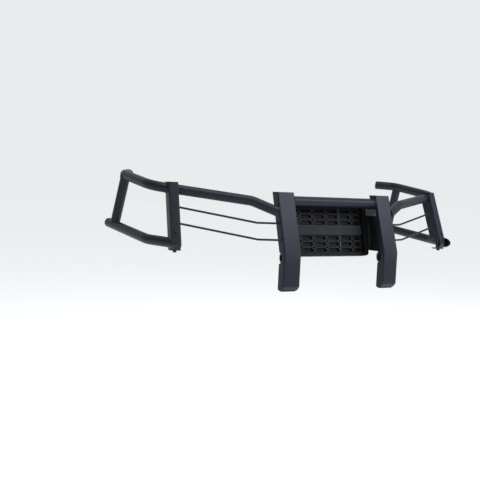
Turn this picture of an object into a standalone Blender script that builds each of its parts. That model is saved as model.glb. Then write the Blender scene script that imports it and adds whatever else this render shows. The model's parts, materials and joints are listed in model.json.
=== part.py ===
"""Front grille guard for a compact utility side-by-side.

Metres, +Z up. X runs across the vehicle, the guard's front faces -Y, and the
origin is on the axis of the vehicle's upper bumper tube, midway between the
two inner uprights. The right-hand pieces (+X) are modelled and the left-hand
ones are their mirror images.
"""
from math import atan2, ceil, cos, pi, radians, sin, tan

import bmesh
import bpy
from mathutils import Matrix, Vector

# ---- driving dimensions ---------------------------------------------------
GAP = 0.0003                      # clearance between pieces that touch
TUBE_DIAMETER = 0.0381            # guard tubes
TUBE_WALL = 0.0025
TOP_BEND_RADIUS = 0.085           # centre-line radius of the top tubes' bends
LOWER_BEND_RADIUS = 0.150
ROD_DIAMETER = 0.008
ROD_BEND_RADIUS = 0.030
BUMPER_DIAMETER = 0.0413          # the vehicle's bumper tube
LINER_THICKNESS = 0.0015          # rubber between bumper tube and clamps
SHEET = 0.004                     # folded sheet of the uprights
PLATE = 0.004                     # straps, brackets and plates
FOLD_RADIUS = 0.006               # outside radius of the folds

INNER_SPACING = 0.486             # between the centres of the inner uprights
INNER_WIDTH = 0.076
INNER_DEPTH = 0.038
INNER_TOE = radians(2.0)
INNER_LEAN = radians(16.5)        # upper part leans back
INNER_LOWER_LEAN = radians(1.0)
INNER_TOP = 0.251
INNER_KINK = 0.0215
INNER_WEB_BOTTOM = -0.107
INNER_BOTTOM = -0.1215
INNER_STANDOFF = 0.041            # bumper axis to the web's front face
FACET_RUN = 0.013                 # how far back the bottom facets reach
FOOT_PAD_THICKNESS = 0.0045
FOOT_STEM_DIAMETER = 0.010

OUTER_SEAT = (0.4206393, 0.1112337, 0.048)    # a tube radius behind the web, at bumper height;
#                                   X of all wing points is from the inner upright's centre
OUTER_WIDTH = 0.040
OUTER_DEPTH_SPARE = 0.0139        # depth beyond the diameter of the tube it holds
OUTER_TOE = radians(12.0)
OUTER_LEAN = radians(18.4)
OUTER_ABOVE = 0.226               # web above the bumper axis
OUTER_WEB_DROP = 0.003            # web below the bumper axis
OUTER_FACET_DROP = 0.021          # bottom edge below the bumper axis
OUTER_BUMPER_CLEARANCE = 0.00655  # between the web's face and the bumper
OUTER_CHAMFER = (0.008, 0.017)    # inner top corner, across and down
WEB_BOLT_RISE = 0.02535           # web bolt above the bumper's top
CORNER_BRACKET_CLEARANCE = 0.0025 # between the bracket and the side walls
CORNER_BRACKET_LAP = 0.016        # bracket above the web bolt
CORNER_BRACKET_TAIL = 0.0228      # bracket behind the bumper axis

CLAMP_WIDTH = 0.040               # strap and liner along the bumper
CLAMP_BOLT_CLEARANCE = 0.00335    # between bolt flanges and the strap's curve
CLAMP_EAR_REACH = 0.012           # strap and plate beyond the bolts

CROSSBAR_DROP = 0.033             # axis below the inner uprights' tops
CROSSBAR_RECESS = 0.00574         # tube's front behind the webs' faces
COLLAR_THICKNESS = 0.0035
COLLAR_WIDTH = 0.006

TOP_TUBE = [(0.0190, 0.0145, 0.1684), (0.1251, 0.0663, 0.2133),
            (0.4713, 0.2239, 0.2575), (0.4713, 0.4870, 0.2985),
            (0.4197, 0.5607, 0.3030)]
LOWER_TUBE = [(0.4330, 0.091, 0.0509), (0.4802, 0.2283, 0.0564),
              (0.4851, 0.5965, 0.1000)]
POST_HEAD = 0.0180                # post axis before the top tube's rear corner
POST_FOOT_INSET = 0.0580          # post axis from the lower tube's end
POST_COPE = 0.006                 # the coped ends stop this far off the axes
CAP_THICKNESS = 0.003
CAP_CROWN = 0.006                 # crown of the lower tube's cap
UPPER_ROD = [(0.0190, 0.0075, 0.1314), (0.1135, 0.0425, 0.1314),
             (0.4170, 0.1611, 0.1852)]
LOWER_ROD = [(0.0190, -0.0135, 0.0690), (0.1158, 0.0281, 0.0690),
             (0.4170, 0.1437, 0.1246)]

GRILLE_CLEARANCE = 0.008          # between the bezel's sides and the inner uprights
GRILLE_BOTTOM = (0.0425, 0.003)   # bezel face's bottom edge, back and up
GRILLE_LEAN = radians(11.0)
GRILLE_HEIGHT = 0.209             # along the lean
BEZEL_DEPTH = 0.030
BEZEL_CORNER = 0.014
SIDE_RAIL = 0.020
END_RAIL = 0.0125                 # the bezel's top and bottom rails
MESH_SETBACK = 0.019
MESH_THICKNESS = 0.003
SCREEN_SETBACK = 0.0265
SCREEN_THICKNESS = 0.0012
BAR_HEIGHT = 0.038
BAR_CENTRE = 0.105                # bar's centre above the bezel's bottom edge
BAR_DEPTH = 0.012
BAR_SETBACK = 0.012
CELL_ROWS = 3
CELL_PITCH = 0.0655               # across; the outer columns are cut short
CELL_MARGIN = (0.0060, 0.0055)    # metal between cells, across and up
CELL_TIP = 0.0095                 # length of a cell's pointed ends
DIAMOND_SIZE = (0.0110, 0.0080)
BRACKET_REAR = 0.1066             # bracket's rear top corner
BRACKET_CLEARANCE = 0.00195       # between the crossbar's collars and the brackets
BRACKET_HEIGHT = 0.027
BRACKET_SLOPE = 0.018             # how far its rear edge slopes forward
BRACKET_LAP = 0.022               # how far it laps onto the upright's wall
BRACKET_PLATE = 0.0025
BRACKET_HOLES = (0.010, 0.013)    # bolt holes from its front and rear edges
SHIELD_BOTTOM = 0.024
SHIELD_CLEARANCE = 0.001          # between the side shields and the brackets
SHIELD_THICKNESS = 0.0015
SHIELD_LAP = 0.010                # onto the upright's wall and the bezel's side

BOLT = dict(shank=0.008, hexagon=0.0150, head=0.0055, flange=0.017, brim=0.0015)
SMALL_BOLT = dict(shank=0.006, hexagon=0.0115, head=0.0042, flange=0.013, brim=0.0012)
HOLE_CLEARANCE = 0.0005           # on the radius of bolt holes
NUT_HEIGHT = 0.0065

# ---- sizes that follow from those above
OUTER_DEPTH = TUBE_DIAMETER + OUTER_DEPTH_SPARE
OUTER_SETBACK = BUMPER_DIAMETER / 2 + OUTER_BUMPER_CLEARANCE  # web face to the bumper axis
CORNER_BRACKET_WIDTH = OUTER_WIDTH - 2 * (SHEET + CORNER_BRACKET_CLEARANCE)
WEB_BOLT_HEIGHT = BUMPER_DIAMETER / 2 + WEB_BOLT_RISE
CORNER_BRACKET_TOP = WEB_BOLT_HEIGHT + CORNER_BRACKET_LAP
CORNER_BRACKET_REACH = OUTER_SETBACK + CORNER_BRACKET_TAIL
CLAMP_BOLT_OFFSET = (BUMPER_DIAMETER / 2 + LINER_THICKNESS + PLATE + BOLT["flange"] / 2
                     + CLAMP_BOLT_CLEARANCE)
CLAMP_EAR_END = CLAMP_BOLT_OFFSET + CLAMP_EAR_REACH
CLAMP_PLATE_START = CLAMP_BOLT_OFFSET - CLAMP_EAR_REACH
CROSSBAR_HEIGHT = INNER_TOP - CROSSBAR_DROP
BRACKET_TOP = CROSSBAR_HEIGHT - TUBE_DIAMETER / 2 - COLLAR_THICKNESS - BRACKET_CLEARANCE
SHIELD_TOP = BRACKET_TOP - BRACKET_HEIGHT - SHIELD_CLEARANCE
GRILLE_WIDTH = INNER_SPACING - INNER_WIDTH - 2 * GRILLE_CLEARANCE

TUBE_STEPS = 6                    # curve points in each tube bend
ROUND = 20                        # sides of small turned pieces


# ---- scene helpers --------------------------------------------------------
def clear_scene():
    for old in list(bpy.data.objects):
        bpy.data.objects.remove(old, do_unlink=True)


def new_collection(name):
    group = bpy.data.collections.new(name)
    bpy.context.scene.collection.children.link(group)
    return group


def material(name, colour, roughness, metallic):
    mat = bpy.data.materials.new(name)
    mat.use_nodes = True
    shader = mat.node_tree.nodes["Principled BSDF"]
    shader.inputs["Base Color"].default_value = (*colour, 1.0)
    shader.inputs["Roughness"].default_value = roughness
    shader.inputs["Metallic"].default_value = metallic
    mat.diffuse_color = (*colour, 1.0)
    return mat


def add_object(name, data, mat=None, group=None):
    obj = bpy.data.objects.new(name, data)
    (group or PARTS).objects.link(obj)
    if mat:
        data.materials.append(mat)
    return obj


def mesh_object(name, bm, mat=None, group=None):
    """An object from a finished bmesh, shaded smooth up to 35 degrees."""
    mesh = bpy.data.meshes.new(name)
    bm.to_mesh(mesh)
    bm.free()
    mesh.shade_smooth()
    mesh.set_sharp_from_angle(angle=radians(35))
    return add_object(name, mesh, mat, group)


def baked_mesh(obj, name, flip_x=False, matrix=None):
    """The evaluated mesh of an object in world space, welded and closed."""
    bpy.context.view_layer.update()
    graph = bpy.context.evaluated_depsgraph_get()
    mesh = bpy.data.meshes.new_from_object(obj.evaluated_get(graph))
    mesh.name = name
    place = obj.matrix_world if matrix is None else matrix
    bm = bmesh.new()
    bm.from_mesh(mesh)
    bmesh.ops.transform(bm, matrix=place, verts=bm.verts)
    if flip_x:
        bmesh.ops.transform(bm, matrix=Matrix.Scale(-1, 4, (1, 0, 0)), verts=bm.verts)
        bmesh.ops.reverse_faces(bm, faces=bm.faces)
    bmesh.ops.remove_doubles(bm, verts=bm.verts, dist=0.00001)
    bm.to_mesh(mesh)
    bm.free()
    return mesh


def mirrored(obj, name):
    """A left-hand copy of a right-hand piece."""
    return add_object(name, baked_mesh(obj, name, flip_x=True))


def boolean(obj, cutter, operation="DIFFERENCE"):
    mod = obj.modifiers.new(operation.lower(), "BOOLEAN")
    mod.operation = operation
    mod.solver = "EXACT"
    mod.object = cutter
    return mod


def as_cutter(obj):
    obj.hide_render = True
    obj.display_type = "WIRE"
    return obj


def cylinder_bmesh(radius, length, sides=ROUND, axis="Z"):
    bm = bmesh.new()
    bmesh.ops.create_cone(bm, cap_ends=True, segments=sides, radius1=radius,
                          radius2=radius, depth=length)
    turn = {"X": Matrix.Rotation(pi / 2, 4, "Y"), "Y": Matrix.Rotation(-pi / 2, 4, "X"),
            "Z": Matrix.Identity(4)}[axis]
    bmesh.ops.transform(bm, matrix=turn, verts=bm.verts)
    return bm


def cylinder_cutter(name, place, radius, length, axis="X", sides=32):
    cutter = mesh_object(name, cylinder_bmesh(radius, length, sides, axis), group=CUTTERS)
    cutter.matrix_world = place
    return as_cutter(cutter)


def box_bmesh(size):
    bm = bmesh.new()
    bmesh.ops.create_cube(bm, size=1.0)
    bmesh.ops.scale(bm, vec=size, verts=bm.verts)
    return bm


def box_cutter(name, place, size):
    cutter = mesh_object(name, box_bmesh(size), group=CUTTERS)
    cutter.matrix_world = place
    return as_cutter(cutter)


def outline(name, points, thickness, mat=None, holes=(), group=None):
    """A flat plate: closed outlines filled in local XY, thickness along Z."""
    curve = bpy.data.curves.new(name, "CURVE")
    curve.dimensions = "2D"
    curve.fill_mode = "BOTH"
    curve.extrude = thickness / 2
    for loop in (points, *holes):
        spline = curve.splines.new("POLY")
        spline.points.add(len(loop) - 1)
        for point, (x, y) in zip(spline.points, loop):
            point.co = (x, y, 0.0, 1.0)
        spline.use_cyclic_u = True
    source = add_object(name + "_outline", curve, group=group)
    mesh = baked_mesh(source, name, matrix=Matrix.Identity(4))
    bpy.data.objects.remove(source, do_unlink=True)
    return add_object(name, mesh, mat, group)


def arc(cx, cy, radius, start, end, steps):
    """Points on a circle from one angle to another, in radians."""
    turn = (end - start) / steps
    return [(cx + radius * cos(start + i * turn), cy + radius * sin(start + i * turn))
            for i in range(steps + 1)]


def rounded_path(points, radius, steps):
    """A path whose corners are replaced by arcs of the given radius."""
    corners = [Vector(p) for p in points]
    path = [corners[0]]
    for before, here, after in zip(corners, corners[1:], corners[2:]):
        back = (before - here).normalized()
        ahead = (after - here).normalized()
        half = back.angle(ahead) / 2
        reach = radius / tan(half)
        centre = here + (back + ahead).normalized() * (radius / sin(half))
        start = (here + back * reach - centre).normalized()
        finish = (here + ahead * reach - centre).normalized()
        for i in range(steps + 1):
            path.append(centre + start.slerp(finish, i / steps) * radius)
    path.append(corners[-1])
    return path


def swept(name, path, diameter, mat=None, resolution=6, group=None, caps=True):
    """A round bar along a path, as a mesh in world space."""
    curve = bpy.data.curves.new(name, "CURVE")
    curve.dimensions = "3D"
    curve.bevel_depth = diameter / 2
    curve.bevel_resolution = resolution
    curve.use_fill_caps = caps
    spline = curve.splines.new("POLY")
    spline.points.add(len(path) - 1)
    for point, co in zip(spline.points, path):
        point.co = (*co, 1.0)
    source = add_object(name + "_path", curve, group=group)
    mesh = baked_mesh(source, name)
    bpy.data.objects.remove(source, do_unlink=True)
    mesh.shade_smooth()
    mesh.set_sharp_from_angle(angle=radians(35))
    return add_object(name, mesh, mat, group)


def hollow_tube(name, path, mat):
    """An open-ended steel tube: the outer skin with its wall inside."""
    tube = swept(name, path, TUBE_DIAMETER, mat, caps=False)
    wall = tube.modifiers.new("wall", "SOLIDIFY")
    wall.thickness = TUBE_WALL
    wall.offset = -1.0
    wall.use_even_offset = True
    return tube


# ---- small pieces ---------------------------------------------------------
def cylinder_part(name, radius_low, radius_high, bottom, top, sides):
    bm = bmesh.new()
    bmesh.ops.create_cone(bm, cap_ends=True, segments=sides, radius1=radius_low,
                          radius2=radius_high, depth=top - bottom)
    bmesh.ops.translate(bm, vec=(0, 0, (top + bottom) / 2), verts=bm.verts)
    return as_cutter(mesh_object(name, bm, group=CUTTERS))


def bolt_mesh(name, size, length):
    """A flanged hex bolt: seat at z = 0, head above it, shank below."""
    shank = cylinder_part(name + "_shank", size["shank"] / 2, size["shank"] / 2,
                          -length, size["brim"] / 2, 12)
    brim = cylinder_part(name + "_brim", size["flange"] / 2, size["flange"] / 2 * 0.9,
                         0.0, size["brim"], ROUND)
    head = cylinder_part(name + "_head", size["hexagon"] / 2, size["hexagon"] / 2 * 0.94,
                         size["brim"] / 2, size["head"], 6)
    boolean(shank, brim, "UNION")
    boolean(shank, head, "UNION")
    mesh = baked_mesh(shank, name)
    mesh.materials.clear()
    return mesh


def nut_mesh(name, size):
    """A hex nut with its seat at z = 0 and its top at NUT_HEIGHT."""
    nut = outline(name + "_blank", arc(0, 0, size["hexagon"] / 2, 0, 5 * pi / 3, 5), NUT_HEIGHT,
                  holes=[circle(0, 0, size["shank"] / 2 + GAP, 12)], group=CUTTERS)
    mesh = nut.data.copy()
    mesh.transform(Matrix.Translation((0, 0, NUT_HEIGHT / 2)))
    bpy.data.objects.remove(nut, do_unlink=True)
    return mesh


def circle(cx, cy, radius, sides):
    return arc(cx, cy, radius, 0, 2 * pi * (sides - 1) / sides, sides - 1)


def placed(name, mesh, place, mat):
    """A copy of a mesh as a piece of its own."""
    obj = add_object(name, mesh.copy(), mat)
    obj.matrix_world = place
    return obj


def welded_on(obj, extra):
    """Join a small piece to an object, which keeps its own name."""
    CUTTERS.objects.link(extra)
    PARTS.objects.unlink(extra)
    boolean(obj, as_cutter(extra), "UNION")
    return obj


def side_plate(name, points, width, place, mat):
    """A piece whose side view is given as (back, up) points, extruded across."""
    plate = outline(name, points, width, mat)
    stand = Matrix(((0, 0, 1, 0), (1, 0, 0, 0), (0, 1, 0, 0), (0, 0, 0, 1)))
    plate.matrix_world = place @ stand
    return plate


def turned(name, profile, place, mat, group=None):
    """A turned piece; profile is (radius, height) from the top outer side down."""
    mesh = bpy.data.meshes.new(name)
    bm = bmesh.new()
    verts = [bm.verts.new((r, 0, z)) for r, z in profile]
    for a, b in zip(verts, verts[1:]):
        bm.edges.new((a, b))
    bm.to_mesh(mesh)
    bm.free()
    obj = add_object(name, mesh, mat, group)
    spin = obj.modifiers.new("turn", "SCREW")
    spin.steps = spin.render_steps = 2 * ROUND
    spin.use_merge_vertices = True
    spin.merge_threshold = 0.00001
    obj.matrix_world = place
    return obj


def frame_along(point, direction):
    """A frame at a point with its Z axis along a direction."""
    return Matrix.Translation(point) @ direction.to_track_quat("Z", "Y").to_matrix().to_4x4()


# ---- frames ---------------------------------------------------------------
def inner_frame(side=1):
    """Inner upright (right at 1, left at -1): centre of the web's face at
    bumper height."""
    place = Matrix.Translation((side * INNER_SPACING / 2, -INNER_STANDOFF, 0.0))
    return place @ Matrix.Rotation(side * INNER_TOE, 4, "Z")


def wing(points):
    """Wing points, given from the inner upright's centre, in the guard's frame."""
    return [Vector((INNER_SPACING / 2 + x, y, z)) for x, y, z in points]


def outer_frame():
    """Right outer upright: centre of the web's face at bumper height."""
    seat = Matrix.Translation(wing([OUTER_SEAT])[0]) @ Matrix.Rotation(OUTER_TOE, 4, "Z")
    return seat @ Matrix.Translation((0, -TUBE_DIAMETER / 2, 0))


def inner_web_back(height):
    """How far the inner upright's face lies behind its kink at a height."""
    if height > INNER_KINK:
        return (height - INNER_KINK) * tan(INNER_LEAN)
    return (INNER_KINK - height) * tan(INNER_LOWER_LEAN)


def grille_frame():
    """Bezel: middle of its front face's bottom edge, Z along the lean."""
    return Matrix.Translation((0, *GRILLE_BOTTOM)) @ Matrix.Rotation(-GRILLE_LEAN, 4, "X")


def saddle_radius():
    return BUMPER_DIAMETER / 2 + LINER_THICKNESS


# ---- uprights -------------------------------------------------------------
def folded_channel(name, profile, rear, width, mat):
    """A sheet folded to a channel. profile is the web's face and rear the
    side walls' rear edge, both as (back, up) pairs from top to bottom."""
    bm = bmesh.new()
    rows = []
    for (face, face_up), (back, back_up) in zip(profile, rear):
        row = [(-width / 2, back, back_up), (-width / 2, face, face_up),
               (width / 2, face, face_up), (width / 2, back, back_up)]
        rows.append([bm.verts.new(co) for co in row])
    for upper, lower in zip(rows, rows[1:]):
        for i in range(3):
            bm.faces.new((upper[i], lower[i], lower[i + 1], upper[i + 1]))
    channel = mesh_object(name, bm, mat)
    fold = channel.modifiers.new("folds", "BEVEL")
    fold.limit_method = "ANGLE"
    fold.angle_limit = radians(60)
    fold.width = FOLD_RADIUS
    fold.segments = 3
    sheet = channel.modifiers.new("sheet", "SOLIDIFY")
    sheet.thickness = SHEET
    sheet.offset = -1.0
    sheet.use_even_offset = True
    return channel


def inner_upright():
    heights = (INNER_TOP, INNER_KINK, INNER_WEB_BOTTOM)
    profile = [(inner_web_back(z), z) for z in heights]
    rear = [(y + INNER_DEPTH, z) for y, z in profile]
    profile.append((profile[-1][0] + FACET_RUN, INNER_BOTTOM))
    rear.append((rear[-1][0], INNER_BOTTOM))
    upright = folded_channel("upright_right", profile, rear, INNER_WIDTH, POWDER)
    upright.matrix_world = inner_frame()
    saddle = inner_frame() @ Matrix.Translation((0, INNER_STANDOFF, 0))
    boolean(upright, cylinder_cutter("cut_saddle_notch", saddle, saddle_radius(), 2 * INNER_WIDTH))
    mouth = saddle @ Matrix.Translation((0, INNER_DEPTH / 2, 0))
    boolean(upright, box_cutter("cut_saddle_mouth", mouth,
                                (2 * INNER_WIDTH, INNER_DEPTH, 2 * saddle_radius())))
    return upright


def outer_upright(tube_clearance):
    slope = tan(OUTER_LEAN)
    profile = [(OUTER_ABOVE * slope, OUTER_ABOVE), (-OUTER_WEB_DROP * slope, -OUTER_WEB_DROP)]
    rear = [(y + OUTER_DEPTH, z) for y, z in profile]
    profile.append((profile[-1][0] + FACET_RUN, -OUTER_FACET_DROP))
    rear.append((rear[-1][0], -OUTER_FACET_DROP))
    upright = folded_channel("outer_upright_right", profile, rear, OUTER_WIDTH, POWDER)
    upright.matrix_world = outer_frame()
    boolean(upright, tube_clearance)
    radius = saddle_radius()
    inner_half = outer_frame() @ Matrix.Translation((-OUTER_WIDTH / 2, OUTER_SETBACK, 0))
    boolean(upright, cylinder_cutter("cut_corner_arch", inner_half, radius, OUTER_WIDTH * 0.6))
    behind = inner_half @ Matrix.Translation((0, 2 * radius, -radius / 2))
    boolean(upright, box_cutter("cut_corner_behind", behind,
                                (OUTER_WIDTH * 0.6, 4 * radius, 3 * radius)))
    across, down = OUTER_CHAMFER
    corner = outer_frame() @ Matrix.Translation((-OUTER_WIDTH / 2, 0, OUTER_ABOVE))
    tilt = corner @ Matrix.Rotation(-atan2(down, across), 4, "Y")
    lift = tilt @ Matrix.Translation((0, 0, across * sin(atan2(down, across)) / 1.0 + across))
    boolean(upright, box_cutter("cut_top_corner", lift, (4 * down, 1.0, 2 * across)))
    hole = outer_web_hole_place()
    boolean(upright, cylinder_cutter("cut_web_bolt", hole, BOLT["shank"] / 2 + HOLE_CLEARANCE,
                                     8 * SHEET, "Z", ROUND))
    return upright


def outer_web_hole_place():
    """Frame of the web bolt: seat on the web's face, Z pointing out of it."""
    face = Vector((0, WEB_BOLT_HEIGHT * tan(OUTER_LEAN), WEB_BOLT_HEIGHT))
    return (outer_frame() @ Matrix.Translation(face)
            @ Matrix.Rotation(pi / 2 - OUTER_LEAN, 4, "X"))


def envelope(name, frame, width):
    """A block as wide as an upright, for trimming what butts against it."""
    return box_cutter(name, frame, (width + 2 * GAP, 1.0, 1.0))


# ---- tubes and rods -------------------------------------------------------
def wing_tubes(inner_block, outer_block, top_path, lower_path):
    top = hollow_tube("wing_top_tube_right", top_path, POWDER)
    boolean(top, inner_block)
    lower = hollow_tube("wing_lower_tube_right", lower_path, POWDER)
    boolean(lower, outer_block)
    return top, lower


def rear_post(lower_path, top_clearance, lower_clearance):
    before, corner = wing(TOP_TUBE[2:4])
    lower_end = (lower_path[-1] - lower_path[-2]).normalized()
    head = corner - (corner - before).normalized() * POST_HEAD
    foot = lower_path[-1] - lower_end * POST_FOOT_INSET
    along = (foot - head).normalized() * POST_COPE
    post = hollow_tube("rear_post_right", [head + along, foot - along], POWDER)
    boolean(post, top_clearance)
    boolean(post, lower_clearance)


def tube_clearance(name, path):
    """The room a tube and its cap take up, for cutting what meets them."""
    beyond = path[-1] + (path[-1] - path[-2]).normalized() * TUBE_DIAMETER
    room = swept(name, path[:-1] + [beyond], TUBE_DIAMETER + 2 * GAP, group=CUTTERS)
    return as_cutter(room)


def tube_caps(top_path, lower_path):
    radius = TUBE_DIAMETER / 2 - GAP
    for name, path, crown in (("top_tube_cap_right", top_path, 0.0),
                              ("lower_tube_cap_right", lower_path, CAP_CROWN)):
        way = (path[-1] - path[-2]).normalized()
        place = frame_along(path[-1] + way * GAP, way)
        rim = CAP_THICKNESS
        profile = [(0.0, rim + crown)]
        if crown:
            profile += [(radius * sin(a), rim + crown * cos(a))
                        for a in (pi / 8, pi / 4, 3 * pi / 8)]
        profile += [(radius, rim), (radius, 0.0), (0.0, 0.0)]
        turned(name, profile, place, POWDER)


def rods(inner_block, outer_block):
    for name, points in (("headlight_rod_upper_right", UPPER_ROD),
                         ("headlight_rod_lower_right", LOWER_ROD)):
        path = rounded_path(wing(points), ROD_BEND_RADIUS, 4)
        rod = swept(name, path, ROD_DIAMETER, POWDER, resolution=4)
        boolean(rod, inner_block)
        boolean(rod, outer_block)


def crossbar(inner_block, inner_block_left):
    back = inner_web_back(CROSSBAR_HEIGHT) - INNER_STANDOFF + CROSSBAR_RECESS
    axis = Vector((0, back + TUBE_DIAMETER / 2, CROSSBAR_HEIGHT))
    reach = Vector((INNER_SPACING / 2, 0, 0))
    bar = hollow_tube("crossbar", [axis - reach, axis + reach], POWDER)
    boolean(bar, inner_block)
    boolean(bar, inner_block_left)
    inside = TUBE_DIAMETER / 2 + GAP
    outside = inside + COLLAR_THICKNESS
    wall = INNER_SPACING / 2 - INNER_WIDTH / 2
    face = frame_along(axis + Vector((wall - COLLAR_WIDTH, 0, 0)), Vector((1, 0, 0)))
    profile = [(inside, 0), (inside, COLLAR_WIDTH * 2), (outside, COLLAR_WIDTH * 2),
               (outside, 0.0012), (outside - 0.0012, 0), (inside, 0)]
    collar = turned("crossbar_collar_right", profile, face, POWDER)
    boolean(collar, inner_block)


# ---- fixings on the inner uprights ----------------------------------------
def clamp(hole_radius):
    """Strap, liner, plates, bolts and nuts that hold the bumper's upper tube."""
    axis = inner_frame() @ Matrix.Translation((0, INNER_STANDOFF, 0))
    inside = saddle_radius() + GAP
    outside = inside + PLATE
    seat = INNER_DEPTH - INNER_STANDOFF + GAP          # front of the strap's ears
    lip = atan2((inside ** 2 - seat ** 2) ** 0.5, seat)
    brow = atan2((outside ** 2 - (seat + PLATE) ** 2) ** 0.5, seat + PLATE)
    strap_points = [(seat, CLAMP_EAR_END), (seat + PLATE, CLAMP_EAR_END)]
    strap_points += arc(0, 0, outside, brow, -brow, 12)
    strap_points += [(seat + PLATE, -CLAMP_EAR_END), (seat, -CLAMP_EAR_END)]
    strap_points += arc(0, 0, inside, -lip, lip, 12)
    strap = side_plate("clamp_strap_right", strap_points[::-1], CLAMP_WIDTH, axis, ZINC)
    liner_points = arc(0, 0, BUMPER_DIAMETER / 2, -lip, lip, 12)
    liner_points += arc(0, 0, saddle_radius(), lip, -lip, 12)
    side_plate("clamp_liner_right", liner_points, CLAMP_WIDTH, axis, RUBBER)
    low, high = CLAMP_PLATE_START, CLAMP_EAR_END
    width = INNER_WIDTH - 2 * (SHEET + GAP)
    back = seat - GAP
    blank = outline("clamp_plate_blank", [(-width / 2, low), (width / 2, low),
                                          (width / 2, high), (-width / 2, high)], PLATE,
                    holes=[circle(0, CLAMP_BOLT_OFFSET, hole_radius, ROUND)], group=CUTTERS)
    nut = placed("clamp_weld_nut", nut_mesh("clamp_nut", BOLT),
                 Matrix.Translation((0, CLAMP_BOLT_OFFSET, PLATE / 2 - 2 * GAP)), None)
    plate = baked_mesh(as_cutter(welded_on(blank, nut)), "clamp_plate")
    upper = axis @ Matrix.Translation((0, back - PLATE / 2, 0)) @ Matrix.Rotation(pi / 2, 4, "X")
    bolt = bolt_mesh("clamp_bolt", BOLT, 0.022)
    for level, side, turn in (("upper", 1, 0.0), ("lower", -1, pi)):
        placed(f"clamp_plate_{level}_right", plate, upper @ Matrix.Rotation(turn, 4, "Z"), POWDER)
        hole = axis @ Matrix.Translation((0, seat + PLATE, side * CLAMP_BOLT_OFFSET))
        boolean(strap, cylinder_cutter(f"cut_clamp_{level}", hole, hole_radius, 4 * PLATE, "Y", ROUND))
        outward = Matrix.Translation((0, GAP, 0)) @ Matrix.Rotation(-pi / 2, 4, "X")
        placed(f"clamp_bolt_{level}_right", bolt, hole @ outward, BOLT_BLACK)


def foot():
    """Plate across the foot of an inner upright, and the rubber pad under it."""
    width = INNER_WIDTH - 2 * (SHEET + GAP)
    web_back = inner_web_back(INNER_WEB_BOTTOM)
    front = web_back + FACET_RUN + SHEET * 1.45
    rear = web_back + INNER_DEPTH
    middle = (front + rear) / 2
    stem = FOOT_STEM_DIAMETER / 2
    place = inner_frame() @ Matrix.Translation((0, 0, INNER_BOTTOM + PLATE / 2))
    outline_points = [(-width / 2, front), (width / 2, front), (width / 2, rear), (-width / 2, rear)]
    plate = outline("foot_plate_right", outline_points, PLATE, POWDER,
                    holes=[circle(0, middle, stem + GAP, ROUND)])
    plate.matrix_world = place
    base = inner_frame() @ Matrix.Translation((0, middle, INNER_BOTTOM - GAP))
    block = box_bmesh((width - 0.006, rear - front, FOOT_PAD_THICKNESS))
    pad = mesh_object("foot_pad_right", block, RUBBER)
    pad.matrix_world = base @ Matrix.Translation((0, 0, -FOOT_PAD_THICKNESS / 2))
    button = [(0, PLATE + 0.004), (stem + 0.001, PLATE + 0.0035), (stem + 0.002, PLATE + 3 * GAP),
              (stem, PLATE + 3 * GAP), (stem, -FOOT_PAD_THICKNESS / 2), (0, -FOOT_PAD_THICKNESS / 2)]
    boolean(pad, as_cutter(turned("foot_stem", button, base, None, CUTTERS)), "UNION")


# ---- fixings on the outer uprights ----------------------------------------
def corner(hole_radius):
    """Bracket, bottom plate and bolts that hold the bumper's end."""
    frame = outer_frame()
    radius = saddle_radius() + GAP
    slope = tan(OUTER_LEAN)
    slant = 1 / cos(OUTER_LEAN)
    face = (SHEET + GAP) * slant                        # web's inner face at axis height
    top = CORNER_BRACKET_TOP
    points = [(face + slope * top, top), (face + slope * radius, radius),
              (CORNER_BRACKET_REACH, radius), (CORNER_BRACKET_REACH, radius + PLATE),
              (face + PLATE * slant + slope * (radius + PLATE), radius + PLATE),
              (face + PLATE * slant + slope * top, top)]
    bracket = side_plate("corner_bracket_right", points, CORNER_BRACKET_WIDTH, frame, ZINC)
    boolean(bracket, bpy.data.objects["cut_web_bolt"])
    front = FACET_RUN - OUTER_WEB_DROP * slope
    rear = OUTER_DEPTH - OUTER_WEB_DROP * slope
    half = OUTER_WIDTH / 2
    cut = 0.004
    base = outline("corner_bottom_plate_right",
                   [(-half, front), (half, front), (half, rear - cut), (half - cut, rear),
                    (cut - half, rear), (-half, rear - cut)], PLATE, POWDER,
                   holes=[circle(0, OUTER_SETBACK, hole_radius, ROUND)])
    bottom = -OUTER_FACET_DROP - GAP - PLATE
    base.matrix_world = frame @ Matrix.Translation((0, 0, bottom + PLATE / 2))
    shaft = frame @ Matrix.Translation((0, OUTER_SETBACK, 0))
    cutter = cylinder_cutter("cut_through_bolt", shaft, hole_radius, 4 * radius, "Z", ROUND)
    boolean(bracket, cutter)
    web_seat = outer_web_hole_place()
    flip = Matrix.Rotation(pi, 4, "X")
    behind = web_seat @ Matrix.Translation((0, 0, 2 * GAP - SHEET - PLATE)) @ flip
    welded_on(bracket, placed("corner_weld_nut", nut_mesh("web_nut", BOLT), behind, None))
    placed("corner_web_bolt_right", bolt_mesh("web_bolt", BOLT, 0.020),
           web_seat @ Matrix.Translation((0, 0, GAP)), BOLT_BLACK)
    seat = radius + PLATE + GAP
    length = seat - bottom + NUT_HEIGHT + 0.002
    placed("corner_through_bolt_right", bolt_mesh("through_bolt", BOLT, length),
           shaft @ Matrix.Translation((0, 0, seat)), BOLT_BLACK)
    placed("corner_through_nut_right", nut_mesh("through_nut", BOLT),
           shaft @ Matrix.Translation((0, 0, bottom - GAP)) @ flip, ZINC)


# ---- grille insert --------------------------------------------------------
def rectangle(left, bottom, right, top, corner=0.0, steps=5):
    if not corner:
        return [(left, bottom), (right, bottom), (right, top), (left, top)]
    centres = [(right - corner, bottom + corner, -pi / 2), (right - corner, top - corner, 0),
               (left + corner, top - corner, pi / 2), (left + corner, bottom + corner, pi)]
    points = []
    for cx, cy, start in centres:
        points += arc(cx, cy, corner, start, start + pi / 2, steps)
    return points


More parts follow.
